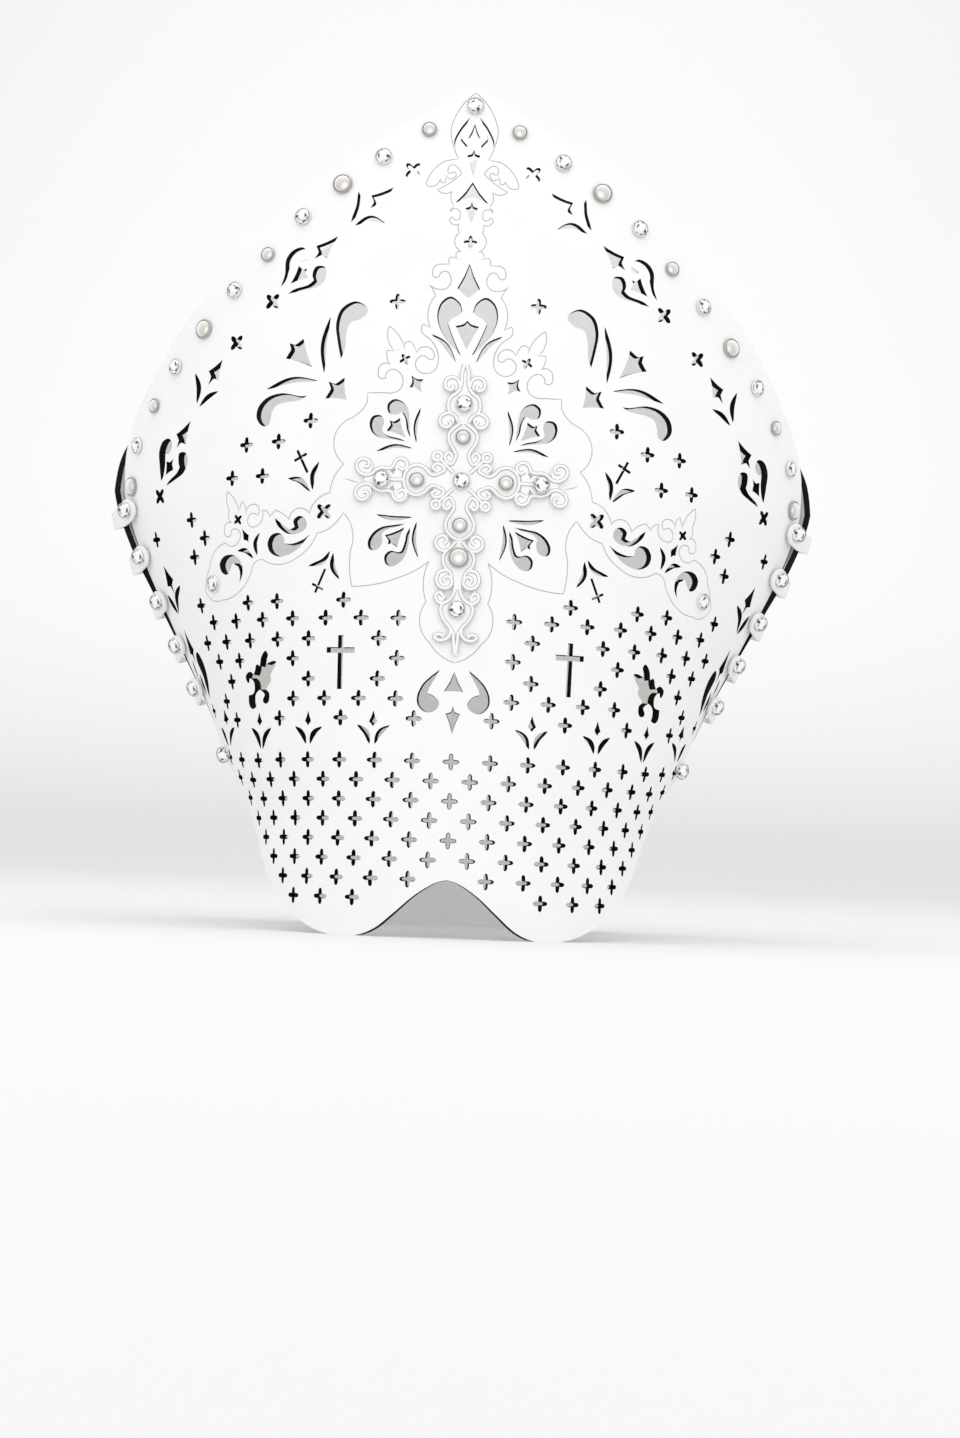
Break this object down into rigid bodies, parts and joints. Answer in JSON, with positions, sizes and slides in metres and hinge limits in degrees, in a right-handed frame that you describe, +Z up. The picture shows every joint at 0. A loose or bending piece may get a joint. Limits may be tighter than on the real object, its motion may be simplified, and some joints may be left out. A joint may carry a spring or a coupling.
{
  "type": "mitre",
  "caption": "Tall two-panel mitre of stiff white leather with a pierced front, a raised cross, side tabs, pearls and crystals.",
  "frame": {"origin": "centre of the bounding box's foot, on the surface that the hat stands on", "axes": "+Z up, -Y towards the pierced front, +X to the right of someone who faces the front"},
  "size_m": [0.291, 0.1904, 0.3385],
  "materials": {
    "white_leather": "satin",
    "plain_white_leather": "satin",
    "tan_leather": "matte",
    "pearl": "gloss",
    "crystal": "gloss"
  },
  "bodies": {
    "root": {"front_panel": "white_leather", "back_panel": "plain_white_leather", "cross_applique": "white_leather", "seam_strip_right": "tan_leather", "seam_strip_left": "tan_leather", "tab_right_1": "white_leather", "tab_left_1": "white_leather", "tab_right_2": "white_leather", "tab_left_2": "white_leather", "tab_right_3": "white_leather", "tab_left_3": "white_leather", "tab_right_4": "white_leather", "tab_left_4": "white_leather", "tab_right_5": "white_leather", "tab_left_5": "white_leather", "rim_crystal_1": "crystal", "rim_pearl_2_left": "pearl", "rim_pearl_2_right": "pearl", "rim_crystal_3_left": "crystal", "rim_crystal_3_right": "crystal", "rim_pearl_4_left": "pearl", "rim_pearl_4_right": "pearl", "rim_crystal_5_left": "crystal", "rim_crystal_5_right": "crystal", "rim_pearl_6_left": "pearl", "rim_pearl_6_right": "pearl", "rim_crystal_7_left": "crystal", "rim_crystal_7_right": "crystal", "rim_pearl_8_left": "pearl", "rim_pearl_8_right": "pearl", "rim_crystal_9_left": "crystal", "rim_crystal_9_right": "crystal", "rim_pearl_10_left": "pearl", "rim_pearl_10_right": "pearl", "rim_crystal_11_left": "crystal", "rim_crystal_11_right": "crystal", "rim_pearl_12_left": "pearl", "rim_pearl_12_right": "pearl", "arm_crystal_left": "crystal", "arm_crystal_right": "crystal", "temple_crystal_left": "crystal", "temple_crystal_right": "crystal", "cross_crystal_1": "crystal", "cross_pearl_2": "pearl", "cross_crystal_3": "crystal", "cross_pearl_4": "pearl", "cross_pearl_5": "pearl", "cross_crystal_6": "crystal", "cross_pearl_7_left": "pearl", "cross_pearl_7_right": "pearl", "cross_crystal_8_left": "crystal", "cross_crystal_8_right": "crystal"}
  },
  "joints": []
}
